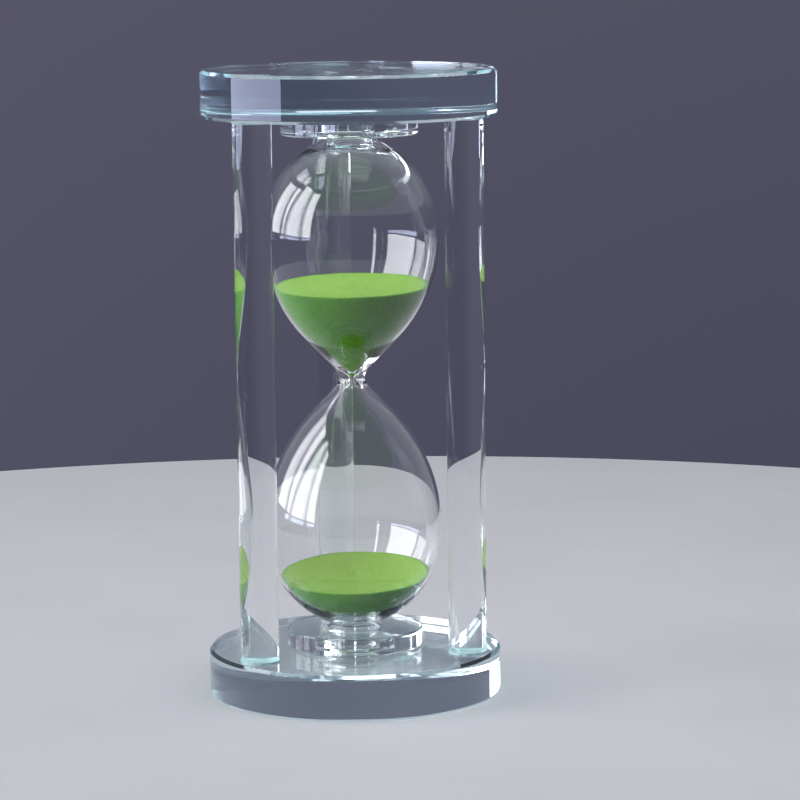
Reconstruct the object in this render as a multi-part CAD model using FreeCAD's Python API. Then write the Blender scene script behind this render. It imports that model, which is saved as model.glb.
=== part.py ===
"""Crystal hourglass: a blown glass bulb of green sand between two thick round
glass plates, held by three solid glass posts and two glass locating rings.
Everything is bonded with thin films of clear resin.

Millimetres, +Z up. The origin is the middle of the base plate's underside.
The front of the hourglass faces -Y.
"""
import FreeCAD, Part
import math
import os

V = FreeCAD.Vector
AXIS = V(0, 0, 1)

# End plates: polished discs with a flat bevel round both edges.
plate_thickness = 15.0
plate_bevel = 1.0
plate_margin = 2.3

# Posts: solid rods in a circle round the bulb, clear of it and of the plates' edges.
post_diameter = 12.4
post_clearance = 3.9
post_bevel = 0.5
post_names = ("front_left", "front_right", "rear")
first_post_angle = -141.3

# Locating rings: flat glass washers that hold the ends of the bulb.
ring_width = 13.7
ring_thickness = 5.8
ring_bevel = 0.5
ring_hole_clearance = 1.6

# Resin films between polished faces.
bond_thickness = 0.2

# Bulb: one blown piece, whose waist came out a little above the middle. A lobe opens
# from the waist as a straight cone that bends round to its widest place, and a dome
# with its centre beyond the axis closes it down to a solid stub. Both lobes have the
# same domes and stubs. Heights and lengths of a lobe are measured from the middle.
waist_rise = 1.7
waist_radius = 4.2
waist_bend = 4.5
cone_angle = 44.5
lobe_radius = 28.9
widest_height = 48.0
dome_offset = 4.1
dome_clearance = 0.55
stub_radius = 6.7
stub_bevel = 0.5
stub_fillet = 0.8

# Inside of the bulb: a thin wall in the lobes that thickens towards both ends,
# because the hollow opens wider than the outside, and its dome turns into a ball
# some way round from the widest place.
throat_radius = 0.8
throat_bend = 3.0
hollow_extra_angle = 4.5
lobe_wall = 0.9
ball_start_angle = 30.0

# Sand: the upper lobe is filled to a height above the middle, the lower lobe to a
# depth over its lowest point, and both surfaces slope a little.
upper_sand_height = 31.7
upper_sand_tilt = 2.8
heap_depth = 14.8
heap_tilt = 5.2
sand_rise_direction = 75.0
sand_clearance = 0.1

# Stream: it tapers as it falls, and its end is cut off on the heap's surface.
stream_top_radius = 0.5
stream_end_radius = 0.4
stream_seat = 1.0

# Sizes, heights and lengths that follow from those above.
post_radius = post_diameter / 2.0
post_circle_radius = lobe_radius + post_clearance + post_radius
plate_radius = post_circle_radius + post_radius + plate_margin
ring_hole_radius = stub_radius + ring_hole_clearance
ring_radius = ring_hole_radius + ring_width
stub_length = ring_thickness + dome_clearance
dome_bend = lobe_radius + dome_offset
root_reach = stub_radius + stub_fillet + dome_offset
root_angle = math.degrees(math.acos(root_reach / (dome_bend + stub_fillet)))
lobe_length = widest_height + math.sqrt((dome_bend + stub_fillet) ** 2 - root_reach ** 2)
hollow_cone_angle = cone_angle + hollow_extra_angle
ball_centre_height = widest_height + dome_offset * math.tan(math.radians(ball_start_angle))
ball_inset = lobe_wall + dome_offset / math.cos(math.radians(ball_start_angle))
hollow_length = ball_centre_height + dome_bend - ball_inset
plate_gap = 2.0 * (lobe_length + stub_length + bond_thickness)
post_length = plate_gap - 2.0 * bond_thickness
overall_height = plate_gap + 2.0 * plate_thickness
middle_height = overall_height / 2.0
waist_height = middle_height + waist_rise
upper_sand_level = middle_height + upper_sand_height
heap_level = middle_height - hollow_length + heap_depth
base_top = plate_thickness
ceiling = overall_height - plate_thickness


def disc(radius, thickness, bevel, bottom, centre=(0.0, 0.0)):
    """Round slab with a flat bevel round both edges."""
    half = [
        V(0, 0, bottom),
        V(radius - bevel, 0, bottom),
        V(radius, 0, bottom + bevel),
        V(radius, 0, bottom + thickness - bevel),
        V(radius - bevel, 0, bottom + thickness),
        V(0, 0, bottom + thickness),
    ]
    face = Part.Face(Part.makePolygon(half + half[:1]))
    solid = face.revolve(V(0, 0, 0), AXIS, 360)
    solid.translate(V(centre[0], centre[1], 0))
    return solid


def washer(outer_radius, inner_radius, thickness, bevel, bottom):
    """Flat ring whose four edges are bevelled."""
    top = bottom + thickness
    section = [
        V(inner_radius + bevel, 0, bottom),
        V(outer_radius - bevel, 0, bottom),
        V(outer_radius, 0, bottom + bevel),
        V(outer_radius, 0, top - bevel),
        V(outer_radius - bevel, 0, top),
        V(inner_radius + bevel, 0, top),
        V(inner_radius, 0, top - bevel),
        V(inner_radius, 0, bottom + bevel),
    ]
    face = Part.Face(Part.makePolygon(section + section[:1]))
    return face.revolve(V(0, 0, 0), AXIS, 360)


def film(radius, bottom, centre=(0.0, 0.0), inner_radius=0.0):
    """Resin film: a thin disc, or a thin ring when it has an inner radius."""
    place = V(centre[0], centre[1], bottom)
    solid = Part.makeCylinder(radius, bond_thickness, place, AXIS)
    if inner_radius > 0:
        solid = solid.cut(Part.makeCylinder(inner_radius, bond_thickness, place, AXIS))
    return solid


def turned_over(shape):
    """The same shape at the other end: turned end over end about the middle."""
    other = shape.copy()
    other.rotate(V(0, 0, middle_height), V(1, 0, 0), 180)
    return other


def at(radius, height):
    """Point of the bulb's section at a radius and a height above the middle."""
    return V(radius, 0, middle_height + height)


def arc(centre, bend, start, end):
    """Arc about a (radius, height) centre between two angles in degrees."""
    middle = (start + end) / 2.0
    points = []
    for angle in (start, middle, end):
        turn = math.radians(angle)
        points.append(at(centre[0] + bend * math.cos(turn), centre[1] + bend * math.sin(turn)))
    return Part.Arc(*points).toShape()


def lobe_section(neck_height, neck, neck_bend, angle, widest, dome, dome_end):
    """Edges of a lobe from its neck up to the angle at which its dome ends.

    A neck bend, a straight cone at an angle to the axis, a long bend to the
    widest place and a dome, each tangent to the next.
    """
    turn = math.radians(angle)
    cone_foot = neck + neck_bend * (1 - math.cos(turn))
    cone_start = (cone_foot, neck_height + neck_bend * math.sin(turn))
    rise = (widest_height - cone_start[1]) * math.tan(turn) - (widest - cone_start[0])
    long_bend = rise * math.cos(turn) / (1 - math.cos(turn))
    neck_arc = arc((neck + neck_bend, neck_height), neck_bend, 180.0, 180.0 - angle)
    long_arc = arc((widest - long_bend, widest_height), long_bend, -angle, 0.0)
    dome_arc = arc((widest - dome, widest_height), dome, 0.0, dome_end)
    cone = Part.LineSegment(neck_arc.Vertexes[-1].Point, long_arc.Vertexes[0].Point)
    return [neck_arc, cone.toShape(), long_arc, dome_arc]


def hollow_section(neck_height, clearance):
    """Edges of a lobe's hollow, from the throat to the axis, set in by a clearance."""
    lobe = lobe_section(
        neck_height,
        throat_radius - clearance,
        throat_bend + clearance,
        hollow_cone_angle,
        lobe_radius - lobe_wall - clearance,
        dome_bend - lobe_wall - clearance,
        ball_start_angle,
    )
    ball_radius = dome_bend - ball_inset - clearance
    return lobe + [arc((0.0, ball_centre_height), ball_radius, ball_start_angle, 90.0)]


def hollow(neck_height, clearance):
    """The hollow of a lobe as a solid, set in by a clearance."""
    edges = hollow_section(neck_height, clearance)
    start = edges[0].Vertexes[0].Point
    end = edges[-1].Vertexes[-1].Point
    foot = V(0, 0, start.z)
    wire = Part.Wire(Part.__sortEdges__(edges + Part.makePolygon([start, foot, end]).Edges))
    return Part.Face(wire).revolve(V(0, 0, 0), AXIS, 360)


def half_section(neck_height):
    """Section of a lobe with its stub, from the waist outwards and back to the throat."""
    outside = lobe_section(
        neck_height,
        waist_radius,
        waist_bend,
        cone_angle,
        lobe_radius,
        dome_bend,
        root_angle,
    )
    inside = hollow_section(neck_height, 0.0)
    root_centre = (stub_radius + stub_fillet, lobe_length)
    root = arc(root_centre, stub_fillet, 180.0 + root_angle, 180.0)
    stub_end = lobe_length + stub_length
    stub = Part.makePolygon([
        at(stub_radius, lobe_length),
        at(stub_radius, stub_end - stub_bevel),
        at(stub_radius - stub_bevel, stub_end),
        at(0, stub_end),
        inside[-1].Vertexes[-1].Point,
    ])
    return outside + [root] + stub.Edges + inside


def glass_bulb():
    """The blown bulb: two hollow lobes joined by the throat, a solid stub at each end."""
    lower = [turned_over(edge) for edge in half_section(-waist_rise)]
    section = Part.Wire(Part.__sortEdges__(half_section(waist_rise) + lower))
    return Part.Face(section).revolve(V(0, 0, 0), AXIS, 360)


def below_surface(level, tilt):
    """Everything under a plane that rises towards the sand's higher side."""
    size = 4.0 * lobe_length
    block = Part.makeBox(size, size, size, V(-size / 2, -size / 2, -size))
    along = math.radians(sand_rise_direction)
    hinge = V(math.sin(along), -math.cos(along), 0)
    block.rotate(V(0, 0, 0), hinge, tilt)
    block.translate(V(0, 0, level))
    return block


def upper_sand():
    """Sand left in the upper lobe."""
    whole = hollow(waist_rise, sand_clearance)
    return whole.common(below_surface(upper_sand_level, upper_sand_tilt))


def lower_sand():
    """Heap of sand in the lower lobe."""
    whole = turned_over(hollow(-waist_rise, sand_clearance))
    return whole.common(below_surface(heap_level, heap_tilt))


def falling_sand(heap):
    """Thin stream from the throat down to the heap."""
    foot = V(0, 0, heap_level - stream_seat)
    drop = waist_height - foot.z
    return Part.makeCone(stream_end_radius, stream_top_radius, drop, foot, AXIS).cut(heap)


def build():
    """Every piece of the hourglass by name."""
    parts = {}
    parts["base_plate"] = disc(plate_radius, plate_thickness, plate_bevel, 0.0)
    parts["top_plate"] = disc(plate_radius, plate_thickness, plate_bevel, ceiling)

    for index, name in enumerate(post_names):
        angle = math.radians(first_post_angle + 360.0 * index / len(post_names))
        centre = (post_circle_radius * math.cos(angle), post_circle_radius * math.sin(angle))
        face_radius = post_radius - post_bevel
        foot = base_top + bond_thickness
        parts[name + "_post"] = disc(post_radius, post_length, post_bevel, foot, centre)
        parts[name + "_foot_bond"] = film(face_radius, base_top, centre)
        parts[name + "_head_bond"] = film(face_radius, ceiling - bond_thickness, centre)

    lower_ring = washer(
        ring_radius,
        ring_hole_radius,
        ring_thickness,
        ring_bevel,
        base_top + bond_thickness,
    )
    ring_film = film(
        ring_radius - ring_bevel,
        base_top,
        inner_radius=ring_hole_radius + ring_bevel,
    )
    bulb_film = film(stub_radius - stub_bevel, base_top)
    parts["lower_ring"] = lower_ring
    parts["upper_ring"] = turned_over(lower_ring)
    parts["lower_ring_bond"] = ring_film
    parts["upper_ring_bond"] = turned_over(ring_film)
    parts["lower_bulb_bond"] = bulb_film
    parts["upper_bulb_bond"] = turned_over(bulb_film)

    parts["glass_bulb"] = glass_bulb()
    heap = lower_sand()
    parts["upper_sand"] = upper_sand()
    parts["lower_sand"] = heap
    parts["falling_sand"] = falling_sand(heap)
    return parts


os.makedirs("parts", exist_ok=True)
for node, shape in build().items():
    print(node, shape.ShapeType, len(shape.Solids), round(shape.Volume, 1), shape.isValid())
    shape.exportStep("parts/" + node + ".step")
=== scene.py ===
"""Crystal hourglass: green sand in a blown bulb, standing between two thick round
glass plates on three glass rods. Metres, +Z up, and the front faces -Y.
"""
import math
import bpy
import numpy as np
from mathutils import Matrix, Vector, noise


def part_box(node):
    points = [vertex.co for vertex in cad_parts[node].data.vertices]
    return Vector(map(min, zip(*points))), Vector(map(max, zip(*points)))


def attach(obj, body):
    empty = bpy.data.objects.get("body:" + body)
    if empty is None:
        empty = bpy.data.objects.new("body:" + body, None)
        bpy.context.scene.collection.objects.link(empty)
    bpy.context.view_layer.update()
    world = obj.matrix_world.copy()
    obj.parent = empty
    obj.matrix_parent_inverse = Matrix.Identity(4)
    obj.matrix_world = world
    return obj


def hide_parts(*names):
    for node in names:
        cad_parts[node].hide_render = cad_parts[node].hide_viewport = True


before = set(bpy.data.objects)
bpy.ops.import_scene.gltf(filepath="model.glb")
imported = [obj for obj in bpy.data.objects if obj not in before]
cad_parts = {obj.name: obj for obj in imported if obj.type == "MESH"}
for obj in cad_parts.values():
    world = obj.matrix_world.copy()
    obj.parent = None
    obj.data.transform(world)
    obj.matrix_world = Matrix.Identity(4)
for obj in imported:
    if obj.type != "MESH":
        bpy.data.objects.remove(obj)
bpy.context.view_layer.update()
scene = bpy.context.scene


# ---------------------------------------------------------------------------
# The studio table: a round top of pale matt laminate with an eased edge. It is
# turned from one board, and it is as wide as the view needs on every side.
# ---------------------------------------------------------------------------
class Value:
    """A node's socket that Python's operators work on. Each adds a Math node."""

    def __init__(self, nodes, socket):
        self.nodes = nodes
        self.socket = socket

    def maths(self, operation, *others):
        values = dict(enumerate((self,) + others))
        return self.nodes.node("ShaderNodeMath", {"operation": operation}, values)

    def __add__(self, other):
        return self.maths("ADD", other)

    def __sub__(self, other):
        return self.maths("SUBTRACT", other)

    def __rsub__(self, other):
        return self * -1.0 + other

    def __mul__(self, other):
        return self.maths("MULTIPLY", other)

    def __truediv__(self, other):
        return self.maths("DIVIDE", other)

    def __abs__(self):
        return self.maths("ABSOLUTE")

    __radd__ = __add__
    __rmul__ = __mul__

    def rise(self, start, end):
        """0 up to start, 1 from end on, and smooth between them."""
        values = {"Value": self, "From Min": start, "From Max": end}
        settings = {"interpolation_type": "SMOOTHSTEP"}
        return self.nodes.node("ShaderNodeMapRange", settings, values)


class Nodes:
    """A node tree written as Python calls."""

    def __init__(self, tree):
        self.tree = tree
        tree.nodes.clear()

    def node(self, kind, settings, values, output=0):
        """Adds a node: its settings first, then the values or links of its sockets."""
        made = self.tree.nodes.new(kind)
        for name, setting in settings.items():
            setattr(made, name, setting)
        for name, value in values.items():
            if isinstance(value, Value):
                self.tree.links.new(value.socket, made.inputs[name])
            else:
                made.inputs[name].default_value = value
        return Value(self, made.outputs[output] if made.outputs else None)


class Finish(Nodes):
    """The nodes of a material or of the world."""

    def place(self):
        """The piece's own coordinates."""
        return self.node("ShaderNodeTexCoord", {}, {}, output="Object")

    def part(self, vector, axis):
        """One of a vector's three numbers."""
        return self.node("ShaderNodeSeparateXYZ", {}, {0: vector}, output=axis)

    def noise(self, place, scale, detail=2.0):
        values = {"Vector": place, "Scale": scale, "Detail": detail}
        return self.node("ShaderNodeTexNoise", {}, values)

    def bump(self, height, strength, distance):
        values = {"Height": height, "Strength": strength, "Distance": distance}
        return self.node("ShaderNodeBump", {}, values)

    def colours(self, share, first, second):
        """Mixes two colours."""
        settings = {"data_type": "RGBA"}
        return self.node("ShaderNodeMix", settings, {0: share, 6: first, 7: second}, output=2)

    def layers(self, share, first, second):
        """Mixes two shaders."""
        return self.node("ShaderNodeMixShader", {}, {0: share, 1: first, 2: second})


def material(name, surface, volume=None):
    """A material from a function that builds its surface, and one for its inside."""
    made = bpy.data.materials.new(name)
    made.use_nodes = True
    finish = Finish(made.node_tree)
    ends = {"Surface": surface(finish)}
    if volume:
        ends["Volume"] = volume(finish)
    finish.node("ShaderNodeOutputMaterial", {}, ends)
    return made


def eased(corners, ease, steps=4):
    """Section with its inner corners rounded over, as (radius, height, normal) points.

    The corners run so that the outside of the piece is on their right.
    """
    corners = [Vector(corner) for corner in corners]
    section = []

    def outward(start, end):
        along = (end - start).normalized()
        return Vector((along.y, -along.x))

    section.append((corners[0], outward(corners[0], corners[1])))
    for before, corner, after in zip(corners, corners[1:], corners[2:]):
        first, last = outward(before, corner), outward(corner, after)
        turn = math.atan2(first.x * last.y - first.y * last.x, first.dot(last))
        side = math.copysign(1.0, turn)
        back = ease * math.tan(abs(turn) / 2.0)
        start = corner + (before - corner).normalized() * back
        centre = start - first * ease * side
        for step in range(steps + 1):
            normal = first.copy()
            normal.rotate(Matrix.Rotation(turn * step / steps, 2))
            section.append((centre + normal * ease * side, normal))
    section.append((corners[-1], outward(corners[-2], corners[-1])))
    return section


def turned(name, section, centre=(0.0, 0.0), segments=192, closed=False):
    """Turns a section round an upright axis into a smooth mesh object.

    Where the section runs along the axis it makes no faces, so one section can
    go on from the outside of a hollow piece to its inside.
    """
    points, normals, rings = [], [], []
    for (radius, height), (out, up) in section:
        start = len(points)
        count = 1 if radius < 1e-7 else segments
        for k in range(count):
            angle = 2.0 * math.pi * k / segments
            cos, sin = math.cos(angle), math.sin(angle)
            points.append((centre[0] + radius * cos, centre[1] + radius * sin, height))
            normals.append((out * cos, out * sin, up))
        rings.append([start + k % count for k in range(segments + 1)])
    pairs = list(zip(rings, rings[1:] + rings[:1] if closed else rings[1:]))
    faces = []
    for lower, upper in pairs:
        for k in range(segments):
            face = list(dict.fromkeys([lower[k], lower[k + 1], upper[k + 1], upper[k]]))
            if len(face) > 2:
                faces.append(face)
    mesh = bpy.data.meshes.new(name)
    mesh.from_pydata(points, [], faces)
    mesh.shade_smooth()
    mesh.normals_split_custom_set_from_vertices(normals)
    piece = bpy.data.objects.new(name, mesh)
    scene.collection.objects.link(piece)
    return piece


def laminate(finish):
    place = finish.place()
    cloud = finish.noise(place, 14.0, 4.0)
    colour = finish.colours(cloud, (0.44, 0.44, 0.45, 1.0), (0.50, 0.50, 0.505, 1.0))
    grain = finish.bump(finish.noise(place, 1400.0), 0.15, 0.0002)
    values = {
        "Base Color": colour,
        "Roughness": 0.7,
        "Specular IOR Level": 0.02,
        "Normal": grain,
    }
    return finish.node("ShaderNodeBsdfPrincipled", {}, values)


table_radius = 0.465
table_thickness = 0.025
table_ease = 0.004
table_drop = 0.0001
table = turned("table", eased([
    (0.0, -table_thickness),
    (table_radius, -table_thickness),
    (table_radius, -table_drop),
    (0.0, -table_drop),
], table_ease))
table.data.materials.append(material("pale laminate", laminate))


# ---------------------------------------------------------------------------
# The studio light: a tall window of two panes on the left over a pale blue wall,
# a soft box overhead, and a plain surround that darkens downwards and rightwards.
# ---------------------------------------------------------------------------
gleam_forward = 0.02


def soft_box(name, centre, facing, size, glow, gleam, colour):
    """Flat lamp of a width and a height: what it lights, and how bright it looks."""
    for part, brightness, forward in (("glow", glow, 0.0), ("gleam", gleam, gleam_forward)):
        lamp = bpy.data.lights.new(name + "_" + part, "AREA")
        lamp.shape = "RECTANGLE"
        lamp.size, lamp.size_y = size
        lamp.energy = brightness * math.pi * size[0] * size[1]
        lamp.color = colour
        box = bpy.data.objects.new(lamp.name, lamp)
        box.location = Vector(centre) + forward * Vector(facing)
        box.rotation_euler = Vector(facing).to_track_quat("-Z", "Y").to_euler()
        box.visible_camera = False
        box.visible_diffuse = part == "glow"
        box.visible_glossy = part == "gleam"
        box.visible_transmission = part == "gleam"
        scene.collection.objects.link(box)


window_distance = 2.0
daylight = (0.95, 0.96, 1.0)
window_parts = {
    "front_pane": ((-1.51, 0.30), (0.13, 2.6), 3.6, 8.5, daylight),
    "back_pane": ((0.44, 1.20), (0.13, 2.6), 3.6, 5.0, daylight),
    "low_wall": ((-1.51, 0.39), (0.015, 0.098), 0.8, 6.8, (0.66, 0.72, 1.0)),
}
for name, (across, upright, glow, gleam, colour) in window_parts.items():
    centre = (-window_distance, sum(across) / 2.0, sum(upright) / 2.0)
    size = (across[1] - across[0], upright[1] - upright[0])
    soft_box(name, centre, (1.0, 0.0, 0.0), size, glow, gleam, colour)
soft_box("overhead", (0.1, -0.1, 1.25), (0.0, 0.0, -1.0), (0.6, 0.6), 10.0, 1.0, daylight)

scene.world = bpy.data.worlds.new("surround")
scene.world.use_nodes = True
surround = Finish(scene.world.node_tree)
direction = surround.node("ShaderNodeTexCoord", {}, {}, output="Generated")
left_colour = (0.088, 0.083, 0.130, 1.0)
right_colour = (0.056, 0.058, 0.094, 1.0)
high_colour = (0.15, 0.147, 0.20, 1.0)
rightwards = surround.part(direction, "X").rise(-0.3, 0.2)
upwards = surround.part(direction, "Z").rise(-0.35, 0.6)
low_colour = surround.colours(rightwards, left_colour, right_colour)
wall_colour = surround.colours(upwards, low_colour, high_colour)
light = surround.node("ShaderNodeBackground", {}, {"Color": wall_colour, "Strength": 1.0})
surround.node("ShaderNodeOutputWorld", {}, {"Surface": light})
scene.view_settings.view_transform = "Standard"
scene.cycles.max_bounces = 32
scene.cycles.transmission_bounces = 32
scene.cycles.glossy_bounces = 12
scene.cycles.transparent_max_bounces = 32


# ---------------------------------------------------------------------------
# The camera: a long lens a metre in front, a little above the top plate.
# ---------------------------------------------------------------------------
lens_length = 152.28
camera_place = (0.00077, -1.08353, 0.25813)
yaw, pitch, roll = math.radians(0.7776), math.radians(-8.5433), math.radians(-0.5633)
camera = bpy.data.objects.new("camera", bpy.data.cameras.new("camera"))
camera.data.lens = lens_length
camera.data.clip_start = 0.05
camera.location = camera_place
camera.rotation_mode = "QUATERNION"
camera.rotation_quaternion = (
    Matrix.Rotation(-yaw, 3, "Z")
    @ Matrix.Rotation(math.pi / 2.0 + pitch, 3, "X")
    @ Matrix.Rotation(roll, 3, "Z")
).to_quaternion()
scene.collection.objects.link(camera)
scene.camera = camera


# ---------------------------------------------------------------------------
# End plates: two thick discs of polished optical glass, aqua where you look a
# long way through them. Both rims have a flat bevel, ground and then polished.
# ---------------------------------------------------------------------------
def clear_glass(finish, colour, roughness, normal, ior):
    """Polished glass that also lets the lamps' light through to what is behind it."""
    values = {
        "Base Color": colour,
        "Roughness": roughness,
        "IOR": ior,
        "Transmission Weight": 1.0,
        "Normal": normal,
    }
    solid = finish.node("ShaderNodeBsdfPrincipled", {}, values)
    through = finish.node("ShaderNodeBsdfTransparent", {}, {"Color": (0.93, 0.96, 0.96, 1.0)})
    shadow = finish.node("ShaderNodeLightPath", {}, {}, output="Is Shadow Ray")
    return finish.layers(shadow, solid, through)


def aqua_inside(finish):
    """Faint green-blue of thick clear glass, which builds up with depth."""
    values = {"Color": (0.35, 0.80, 0.92, 1.0), "Density": 3.5}
    return finish.node("ShaderNodeVolumeAbsorption", {}, values)


MM = 0.001
plate_bevel = 1.0 * MM
plate_ease = 0.12 * MM


def plate_glass(low, high):
    """Glass of the plate between two corners, with its bevels a little duller."""

    def surface(finish):
        place = finish.place()
        x, y, z = [finish.part(place, axis) for axis in "XYZ"]
        radius = (x * x + y * y).maths("SQRT")
        level = abs(z - (low.z + high.z) / 2.0)
        edge = radius + level
        edge_start = high.x + (high.z - low.z) / 2.0 - 1.3 * plate_bevel
        bevel = edge.rise(edge_start, edge_start + 0.2 * plate_bevel)
        wipe = finish.noise(place, 55.0, 3.0)
        roughness = 0.004 + 0.02 * wipe.rise(0.55, 0.8) + 0.05 * bevel
        ripple = finish.bump(finish.noise(place, 30.0), 0.02, 0.0004)
        clear = clear_glass(finish, (0.985, 1.0, 1.0, 1.0), roughness, ripple, 1.52)
        ground = finish.node("ShaderNodeBsdfDiffuse", {}, {"Color": (0.62, 0.83, 0.88, 1.0)})
        return finish.layers(bevel * 0.05, clear, ground)

    return surface


for node in ("base_plate", "top_plate"):
    low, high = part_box(node)
    plate = turned(node + "_glass", eased([
        (0.0, low.z),
        (high.x - plate_bevel, low.z),
        (high.x, low.z + plate_bevel),
        (high.x, high.z - plate_bevel),
        (high.x - plate_bevel, high.z),
        (0.0, high.z),
    ], plate_ease), segments=360)
    plate.data.materials.append(material(node + " glass", plate_glass(low, high), aqua_inside))
    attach(plate, "root")
    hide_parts(node)


# ---------------------------------------------------------------------------
# Posts: three solid rods of drawn glass, fire-polished down their length and
# bevelled at both cut ends, standing between the plates.
# ---------------------------------------------------------------------------
post_bevel = 0.5 * MM
post_ease = 0.1 * MM


def rod_glass(finish):
    place = finish.place()
    stretched = finish.node("ShaderNodeMapping", {}, {"Vector": place, "Scale": (1.0, 1.0, 0.04)})
    drawn = finish.bump(finish.noise(stretched, 260.0), 0.03, 0.0004)
    wipe = finish.noise(place, 40.0, 3.0)
    roughness = 0.003 + 0.015 * wipe.rise(0.55, 0.8)
    return clear_glass(finish, (0.985, 1.0, 0.995, 1.0), roughness, drawn, 1.51)


def faint_inside(finish):
    values = {"Color": (0.6, 0.92, 0.92, 1.0), "Density": 3.0}
    return finish.node("ShaderNodeVolumeAbsorption", {}, values)


rod = material("rod glass", rod_glass, faint_inside)
for name in ("front_left", "front_right", "rear"):
    low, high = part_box(name + "_post")
    middle = (low + high) / 2.0
    radius = (high.x - low.x) / 2.0
    post = turned(name + "_rod", eased([
        (0.0, low.z),
        (radius - post_bevel, low.z),
        (radius, low.z + post_bevel),
        (radius, high.z - post_bevel),
        (radius - post_bevel, high.z),
        (0.0, high.z),
    ], post_ease), middle.xy, segments=128)
    post.data.materials.append(rod)
    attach(post, "root")
    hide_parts(name + "_post")


# ---------------------------------------------------------------------------
# Locating rings: flat glass washers, bevelled and polished like the plates, that
# hold the ends of the bulb on the axis.
# ---------------------------------------------------------------------------
ring_bevel = 0.5 * MM
ring_ease = 0.1 * MM
ring_bore = 8.3 * MM


def ring_glass(finish):
    place = finish.place()
    ripple = finish.bump(finish.noise(place, 60.0), 0.03, 0.0004)
    wipe = finish.noise(place, 90.0, 3.0)
    roughness = 0.004 + 0.02 * wipe.rise(0.55, 0.8)
    return clear_glass(finish, (0.985, 1.0, 0.995, 1.0), roughness, ripple, 1.52)


washer = material("ring glass", ring_glass, faint_inside)
for node in ("lower_ring", "upper_ring"):
    low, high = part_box(node)
    corners = [
        (ring_bore + ring_bevel, low.z),
        (high.x - ring_bevel, low.z),
        (high.x, low.z + ring_bevel),
        (high.x, high.z - ring_bevel),
        (high.x - ring_bevel, high.z),
        (ring_bore + ring_bevel, high.z),
        (ring_bore, high.z - ring_bevel),
        (ring_bore, low.z + ring_bevel),
    ]
    section = eased(corners[-1:] + corners + corners[:1], ring_ease)[1:-1]
    ring = turned(node + "_glass", section, segments=256, closed=True)
    ring.data.materials.append(washer)
    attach(ring, "root")
    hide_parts(node)


# ---------------------------------------------------------------------------
# Bulb: one piece of thin lamp-blown borosilicate, with slow waves in its wall
# from the flame. Each lobe opens as a cone from a thick throat, a little above
# the middle, and closes to a solid end that is flattened and glued to its plate.
# ---------------------------------------------------------------------------
waist_rise = 1.7 * MM
waist_radius = 4.2 * MM
waist_bend = 4.5 * MM
cone_angle = math.radians(44.5)
lobe_radius = 28.9 * MM
widest_height = 48.0 * MM
dome_offset = 4.1 * MM
stub_radius = 6.7 * MM
stub_bevel = 0.5 * MM
stub_fillet = 0.8 * MM
throat_radius = 0.8 * MM
throat_bend = 3.0 * MM
hollow_angle = math.radians(49.0)
lobe_wall = 0.9 * MM
ball_start = math.radians(30.0)


def bend(centre, radius, start, end, steps, side=1.0):
    """Arc of a section between two angles: convex, or hollow where side is -1."""
    arc = []
    for step in range(steps + 1):
        angle = start + (end - start) * step / steps
        out = Vector((math.cos(angle), math.sin(angle)))
        arc.append((Vector(centre) + radius * out, side * out))
    return arc


def lobe_line(neck_height, neck, neck_bend, angle, widest, dome, dome_end):
    """Section of a lobe from its neck up, as heights above the bulb's middle."""
    cone_foot = neck + neck_bend * (1.0 - math.cos(angle))
    cone_height = widest_height - neck_height - neck_bend * math.sin(angle)
    rise = cone_height * math.tan(angle) - (widest - cone_foot)
    long_bend = rise * math.cos(angle) / (1.0 - math.cos(angle))
    neck_centre = (neck + neck_bend, neck_height)
    line = bend(neck_centre, neck_bend, math.pi, math.pi - angle, 16, -1.0)
    line += bend((widest - long_bend, widest_height), long_bend, -angle, 0.0, 40)
    return line + bend((widest - dome, widest_height), dome, 0.0, dome_end, 32)[1:]


def half_bulb(neck_height, half_length):
    """Outside and inside of a lobe, each from its neck up to the axis."""
    dome = lobe_radius + dome_offset
    root_radius = stub_radius + stub_fillet
    root_angle = math.acos((root_radius + dome_offset) / (dome + stub_fillet))
    root_height = widest_height + (dome + stub_fillet) * math.sin(root_angle)
    outside = lobe_line(
        neck_height,
        waist_radius,
        waist_bend,
        cone_angle,
        lobe_radius,
        dome,
        root_angle,
    )
    root = bend((root_radius, root_height), stub_fillet, math.pi + root_angle, math.pi, 8, -1.0)
    end = eased([
        (stub_radius, root_height),
        (stub_radius, half_length - stub_bevel),
        (stub_radius - stub_bevel, half_length),
        (0.0, half_length),
    ], 0.1 * MM)
    wall_dome = dome - lobe_wall
    ball_radius = wall_dome - dome_offset / math.cos(ball_start)
    ball_height = widest_height + dome_offset * math.tan(ball_start)
    inside = lobe_line(
        neck_height,
        throat_radius,
        throat_bend,
        hollow_angle,
        lobe_radius - lobe_wall,
        wall_dome,
        ball_start,
    )
    inside += bend((0.0, ball_height), ball_radius, ball_start, math.pi / 2.0, 32)[1:]
    return outside + root[1:] + end[1:], inside


def bulb_section(middle, half_length):
    """Outside of the bulb from its foot to its top, then the hollow back down."""
    shells = []
    for above, below in zip(half_bulb(waist_rise, half_length), half_bulb(-waist_rise, half_length)):
        lower = [(Vector((r, -h)), Vector((out, -up))) for (r, h), (out, up) in reversed(below)]
        shells.append(lower[:-1] + above)
    outside, inside = shells
    line = outside + [(point, -out) for point, out in reversed(inside)]
    return [(Vector((abs(r), middle + h)), out) for (r, h), out in line]


def blown_glass(finish):
    place = finish.place()
    waves = finish.bump(finish.noise(place, 28.0, 1.0), 0.05, 0.0006)
    wipe = finish.noise(place, 70.0, 4.0)
    roughness = 0.002 + 0.012 * wipe.rise(0.6, 0.85)
    return clear_glass(finish, (0.99, 1.0, 0.995, 1.0), roughness, waves, 1.474)


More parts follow.
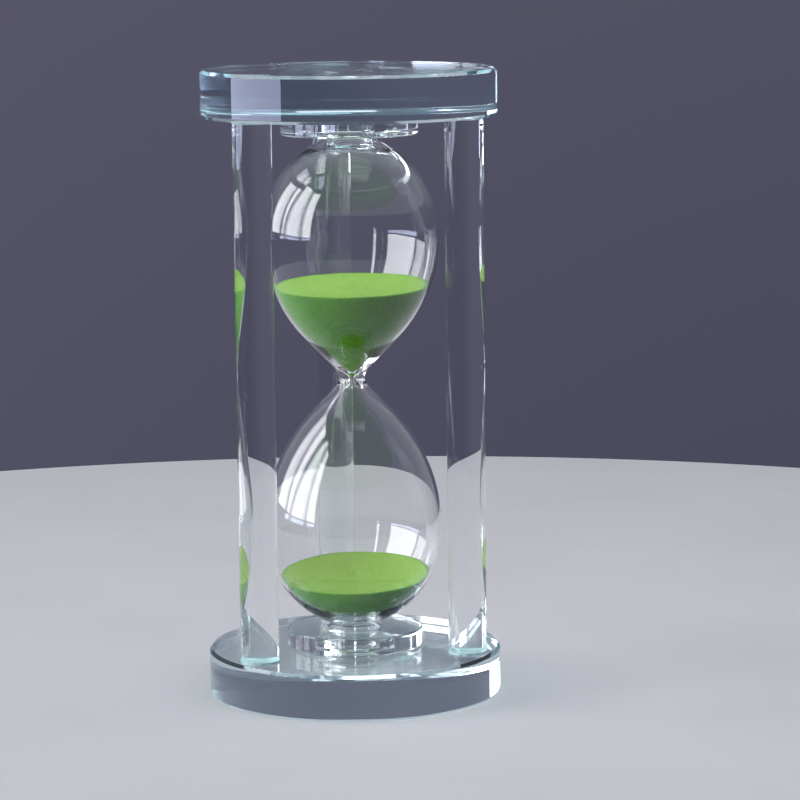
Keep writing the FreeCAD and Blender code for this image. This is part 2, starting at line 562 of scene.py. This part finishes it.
low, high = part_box("glass_bulb")
bulb = turned("blown_bulb", bulb_section((low.z + high.z) / 2.0, (high.z - low.z) / 2.0))
bulb.data.materials.append(material("blown glass", blown_glass))
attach(bulb, "root")
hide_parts("glass_bulb")


# ---------------------------------------------------------------------------
# Resin: thin films of cement, cured between the polished faces. Under the rings
# and the bulb they are clear. Under and over the posts they are a little milky,
# and show aqua. Each film wets both faces, and a bead of it stands out all round,
# which at a post fills the groove under its bevel.
# ---------------------------------------------------------------------------
film_wetting = 0.02 * MM
film_bead = 0.12 * MM
film_ease = 0.03 * MM
groove_fill = 0.85 * post_bevel


def clear_resin(finish):
    place = finish.place()
    cloud = finish.noise(place, 300.0, 3.0)
    ripple = finish.bump(cloud, 0.05, 0.0002)
    return clear_glass(finish, (0.97, 1.0, 0.99, 1.0), 0.01 + 0.03 * cloud, ripple, 1.50)


def milky_resin(finish):
    """The clear resin with fine bubbles and stirred-in haze."""
    cloud = finish.noise(finish.place(), 420.0, 3.0)
    colour = finish.colours(cloud, (0.36, 0.64, 0.66, 1.0), (0.64, 0.84, 0.85, 1.0))
    values = {"Base Color": colour, "Roughness": 0.3}
    haze = finish.node("ShaderNodeBsdfPrincipled", {}, values)
    return finish.layers(0.5 + 0.45 * cloud.rise(0.3, 0.65), clear_resin(finish), haze)


milky = material("milky resin", milky_resin)
clear = material("clear resin", clear_resin)
for node in sorted(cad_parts):
    if not node.endswith("_bond"):
        continue
    low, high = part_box(node)
    middle = (low + high) / 2.0
    rim = (high.x - low.x) / 2.0 + film_bead
    bottom, top = low.z - film_wetting, high.z + film_wetting
    if "_ring_" in node:
        bore = ring_bore + ring_bevel - film_bead
        corners = [(bore, bottom), (rim, bottom), (rim, top), (bore, top)]
        section = eased(corners[-1:] + corners + corners[:1], 0.4 * (top - bottom))[1:-1]
    elif "bulb" in node:
        section = eased([(0.0, bottom), (rim, bottom), (rim, top), (0.0, top)], 0.4 * (top - bottom))
    else:
        face = (high.x - low.x) / 2.0
        corners = [
            (0.0, bottom),
            (face + post_bevel + film_bead, bottom),
            (face + groove_fill + film_bead, top + groove_fill),
            (face + groove_fill - 2.0 * film_wetting, top + groove_fill),
            (face - 2.0 * film_wetting, top),
            (0.0, top),
        ]
        if "head" in node:
            corners = [(r, bottom + top - z) for r, z in reversed(corners)]
        section = eased(corners, film_ease)
    film = turned(node + "_film", section, middle.xy, segments=96, closed="_ring_" in node)
    film.data.materials.append(milky if "foot" in node or "head" in node else clear)
    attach(film, "root")
    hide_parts(node)


# ---------------------------------------------------------------------------
# Sand: fine dyed grains, dry and matt. They fill each lobe up to a surface that
# has settled a little unevenly, with loose grains lying on it. The lower heap
# has a small crater where the stream lands.
# ---------------------------------------------------------------------------
class Growth(Nodes):
    """A geometry node group with named inputs, run once on an object."""

    def __init__(self, name):
        super().__init__(bpy.data.node_groups.new(name, "GeometryNodeTree"))
        self.inputs = self.tree.nodes.new("NodeGroupInput")
        self.tree.interface.new_socket("Piece", in_out="OUTPUT", socket_type="NodeSocketGeometry")
        self.named = {}

    def takes(self, name, kind, value=None):
        """Adds a named input, with the value that the run gives it."""
        item = self.tree.interface.new_socket(name, in_out="INPUT", socket_type="NodeSocket" + kind)
        if value is not None:
            self.named[item.identifier] = value
        return Value(self, self.inputs.outputs[name])

    def run(self, host, result):
        """Turns the host's mesh into what the group makes of it."""
        self.node("NodeGroupOutput", {}, {0: result})
        modifier = host.modifiers.new(self.tree.name, "NODES")
        modifier.node_group = self.tree
        for identifier, value in self.named.items():
            modifier[identifier] = value
        graph = bpy.context.evaluated_depsgraph_get()
        host.data = bpy.data.meshes.new_from_object(host.evaluated_get(graph))
        host.modifiers.remove(modifier)


def green_grains(finish):
    """Open sand is pale with air between its grains, and darker against the glass; the dark sides are
    partly painted shade and the pale top partly painted light.
    """
    place = finish.place()
    top = finish.node("ShaderNodeAttribute", {"attribute_name": "open_top"}, {}, output="Fac")
    grain = finish.noise(place, 2600.0, 1.0).rise(0.3, 0.7)
    drift = finish.noise(place, 90.0, 3.0)
    # Sand pressed on the glass is darker, partly real and partly painted shade; the loose top is
    # lighter, partly painted light.
    pressed_and_painted_shade = finish.colours(grain, (0.04, 0.20, 0.004, 1.0), (0.11, 0.37, 0.010, 1.0))
    loose = finish.colours(grain, (0.18, 0.33, 0.036, 1.0), (0.30, 0.47, 0.075, 1.0))
    painted_lit_top_and_shaded_sides = finish.colours(top, pressed_and_painted_shade, loose)
    colour = finish.colours(0.3 * drift, painted_lit_top_and_shaded_sides, (0.10, 0.28, 0.02, 1.0))
    relief = finish.bump(grain, 0.6, 0.0003)
    values = {
        "Base Color": colour,
        "Roughness": 0.9,
        "Specular IOR Level": 0.15,
        "Normal": relief,
    }
    return finish.node("ShaderNodeBsdfPrincipled", {}, values)


def grain_shape(group, grain_radius, seed):
    """One grain, and a random turn and size for each copy of it."""
    size = {"Radius": grain_radius, "Subdivisions": 1}
    ball = group.node("GeometryNodeMeshIcoSphere", {}, size)
    # Each grain is marked open_top, so it takes the lighter top colour, which is partly painted light.
    settings = {"data_type": "FLOAT", "domain": "POINT"}
    values = {"Geometry": ball, "Name": "open_top", "Value": 1.0}
    grain = group.node("GeometryNodeStoreNamedAttribute", settings, values)
    turn = group.node("FunctionNodeRandomValue", {"data_type": "FLOAT_VECTOR"}, {
        0: (0.0, 0.0, 0.0),
        1: (math.tau, math.tau, math.tau),
        "Seed": seed,
    })
    girth = group.node("FunctionNodeRandomValue", {"data_type": "FLOAT_VECTOR"}, {
        0: (0.5, 0.5, 0.5),
        1: (1.2, 1.2, 1.2),
        "Seed": seed + 1,
    })
    return grain, turn, girth


def side_of(node):
    """Arc length, radius and height along the side of a round CAD heap."""
    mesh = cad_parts[node].data
    side = {v for face in mesh.polygons if face.normal.z < 0.9 for v in face.vertices}
    found = sorted({(round(mesh.vertices[v].co.z, 7), mesh.vertices[v].co.xy.length) for v in side})
    heights, radii = np.array(found).T
    keep = np.r_[True, np.diff(heights) > 0.02 * MM]
    heights, radii = heights[keep], radii[keep]
    reach = np.r_[0.0, np.cumsum(np.hypot(np.diff(heights), np.diff(radii)))]
    return reach, radii, heights


def top_of(node):
    """Height of a CAD heap's flat top at the axis, and how steeply it rises along X and Y."""
    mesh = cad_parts[node].data
    flat = [face for face in mesh.polygons if face.normal.z > 0.9]
    area = sum(face.area for face in flat)
    point = sum((face.center * face.area for face in flat), Vector()) / area
    normal = sum((face.normal * face.area for face in flat), Vector()).normalized()
    rise = (-normal.x / normal.z, -normal.y / normal.z)
    return point.z - rise[0] * point.x - rise[1] * point.y, rise


def heap(name, node, swell, crater, crater_width, seed):
    """Sand inside the glass: its side follows the CAD heap, its top has settled."""
    reach, radii, heights = side_of(node)
    level, rise = top_of(node)
    around, rows, rings = 192, 56, 44

    def surface(x, y):
        waves = noise.fractal(Vector((x, y, seed)) * 90.0, 0.8, 2.0, 3)
        dip = math.exp(-(x * x + y * y) / crater_width ** 2)
        lip = math.exp(-((math.hypot(x, y) - 1.6 * crater_width) / crater_width) ** 2)
        return level + rise[0] * x + rise[1] * y + swell * waves + crater * (0.3 * lip - dip)

    points = []
    steps = np.linspace(0.0, reach[-1], 400)
    radius_at, height_at = np.interp(steps, reach, radii), np.interp(steps, reach, heights)
    for k in range(around):
        angle = math.tau * k / around
        cos, sin = math.cos(angle), math.sin(angle)
        over = [h - surface(r * cos, r * sin) for r, h in zip(radius_at, height_at)]
        last = next((i for i, gap in enumerate(over) if gap > 0.0), len(over) - 1)
        edge = steps[last - 1] + (steps[last] - steps[last - 1]) * min(
            1.0, over[last - 1] / (over[last - 1] - over[last]))
        for row in range(rows):
            along = edge * (row + 1) / rows
            r, h = np.interp(along, reach, radii), np.interp(along, reach, heights)
            points.append((r * cos, r * sin, h))
        for ring in range(1, rings):
            x, y = r * cos * (1.0 - ring / rings), r * sin * (1.0 - ring / rings)
            points.append((x, y, surface(x, y)))
    count = rows + rings - 1
    foot, crown = len(points), len(points) + 1
    points += [(0.0, 0.0, heights[0]), (0.0, 0.0, surface(0.0, 0.0))]
    faces = []
    for k in range(around):
        here, there = k * count, (k + 1) % around * count
        faces.append((foot, there, here))
        faces += [(here + i, there + i, there + i + 1, here + i + 1) for i in range(count - 1)]
        faces.append((here + count - 1, there + count - 1, crown))
    mesh = bpy.data.meshes.new(name)
    mesh.from_pydata(points, [], faces)
    mesh.shade_smooth()
    # open_top is 1 on the top surface: the sand paints it lighter than the sides, partly as painted
    # light and shade.
    open_top = mesh.attributes.new("open_top", "FLOAT", "POINT")
    for index in range(len(points)):
        open_top.data[index].value = float(index == crown or rows < index % count)
    piece = bpy.data.objects.new(name, mesh)
    scene.collection.objects.link(piece)

    group = Growth(name + " grains")
    body = group.takes("Heap", "Geometry")
    grain_radius = group.takes("Grain radius", "Float", 0.13 * MM)
    density = group.takes("Grains per square metre", "Float", 1.6e6)
    seed_socket = group.takes("Seed", "Int", seed)
    finish = group.takes("Sand", "Material", sand)
    where = group.node("GeometryNodeInputNamedAttribute", {"data_type": "FLOAT"}, {"Name": "open_top"})
    loose = group.node("GeometryNodeDistributePointsOnFaces", {}, {
        "Mesh": body,
        "Selection": where.maths("GREATER_THAN", 0.9),
        "Density": density,
        "Seed": seed_socket,
    })
    grain, turn, girth = grain_shape(group, grain_radius, seed)
    copies = group.node("GeometryNodeInstanceOnPoints", {}, {
        "Points": loose,
        "Instance": grain,
        "Rotation": turn,
        "Scale": girth,
    })
    joined = group.node("GeometryNodeJoinGeometry", {}, {0: body})
    group.tree.links.new(copies.socket, joined.socket.node.inputs[0])
    real = group.node("GeometryNodeRealizeInstances", {}, {0: joined})
    group.run(piece, group.node("GeometryNodeSetMaterial", {}, {"Geometry": real, "Material": finish}))
    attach(piece, "root")
    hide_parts(node)
    return surface(0.0, 0.0)


sand = material("green sand", green_grains)
heap(
    "upper_heap",
    "upper_sand",
    swell=0.12 * MM,
    crater=0.25 * MM,
    crater_width=4.0 * MM,
    seed=3,
)
landing = heap(
    "lower_heap",
    "lower_sand",
    swell=0.18 * MM,
    crater=0.55 * MM,
    crater_width=1.6 * MM,
    seed=5,
)

# The stream falls from the throat as single grains, further apart as they speed up.
stream_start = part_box("falling_sand")[1].z
stream_inset = 0.2 * MM
speeding_up = 1.4
share_of_drop = 0.985
stream = bpy.data.objects.new("sand_stream", bpy.data.meshes.new("sand_stream"))
scene.collection.objects.link(stream)
group = Growth("sand stream")
group.takes("Start", "Geometry")
count = group.takes("Grains", "Int", 340)
drop = group.takes("Drop", "Float", stream_start - landing)
spread = group.takes("Spread", "Float", 0.2 * MM)
grain_radius = group.takes("Grain radius", "Float", 0.1 * MM)
finish = group.takes("Sand", "Material", sand)
line = group.node("GeometryNodeMeshLine", {}, {
    "Count": count,
    "Start Location": (0.0, 0.0, stream_start - stream_inset),
    "Offset": (0.0, 0.0, 0.0),
})
share = group.node("GeometryNodeInputIndex", {}, {}) / count
fall = share.maths("POWER", speeding_up) * drop * -share_of_drop
aside = group.node("FunctionNodeRandomValue", {"data_type": "FLOAT_VECTOR"}, {
    0: (-1.0, -1.0, 0.0),
    1: (1.0, 1.0, 0.0),
    "Seed": 11,
})
scatter = group.node("ShaderNodeVectorMath", {"operation": "SCALE"}, {0: aside, "Scale": spread})
down = group.node("ShaderNodeCombineXYZ", {}, {"Z": fall})
shift = group.node("ShaderNodeVectorMath", {"operation": "ADD"}, {0: scatter, 1: down})
placed = group.node("GeometryNodeSetPosition", {}, {"Geometry": line, "Offset": shift})
grain, turn, girth = grain_shape(group, grain_radius, 21)
copies = group.node("GeometryNodeInstanceOnPoints", {}, {
    "Points": placed,
    "Instance": grain,
    "Rotation": turn,
    "Scale": girth,
})
real = group.node("GeometryNodeRealizeInstances", {}, {0: copies})
group.run(stream, group.node("GeometryNodeSetMaterial", {}, {"Geometry": real, "Material": finish}))
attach(stream, "root")
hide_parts("falling_sand")
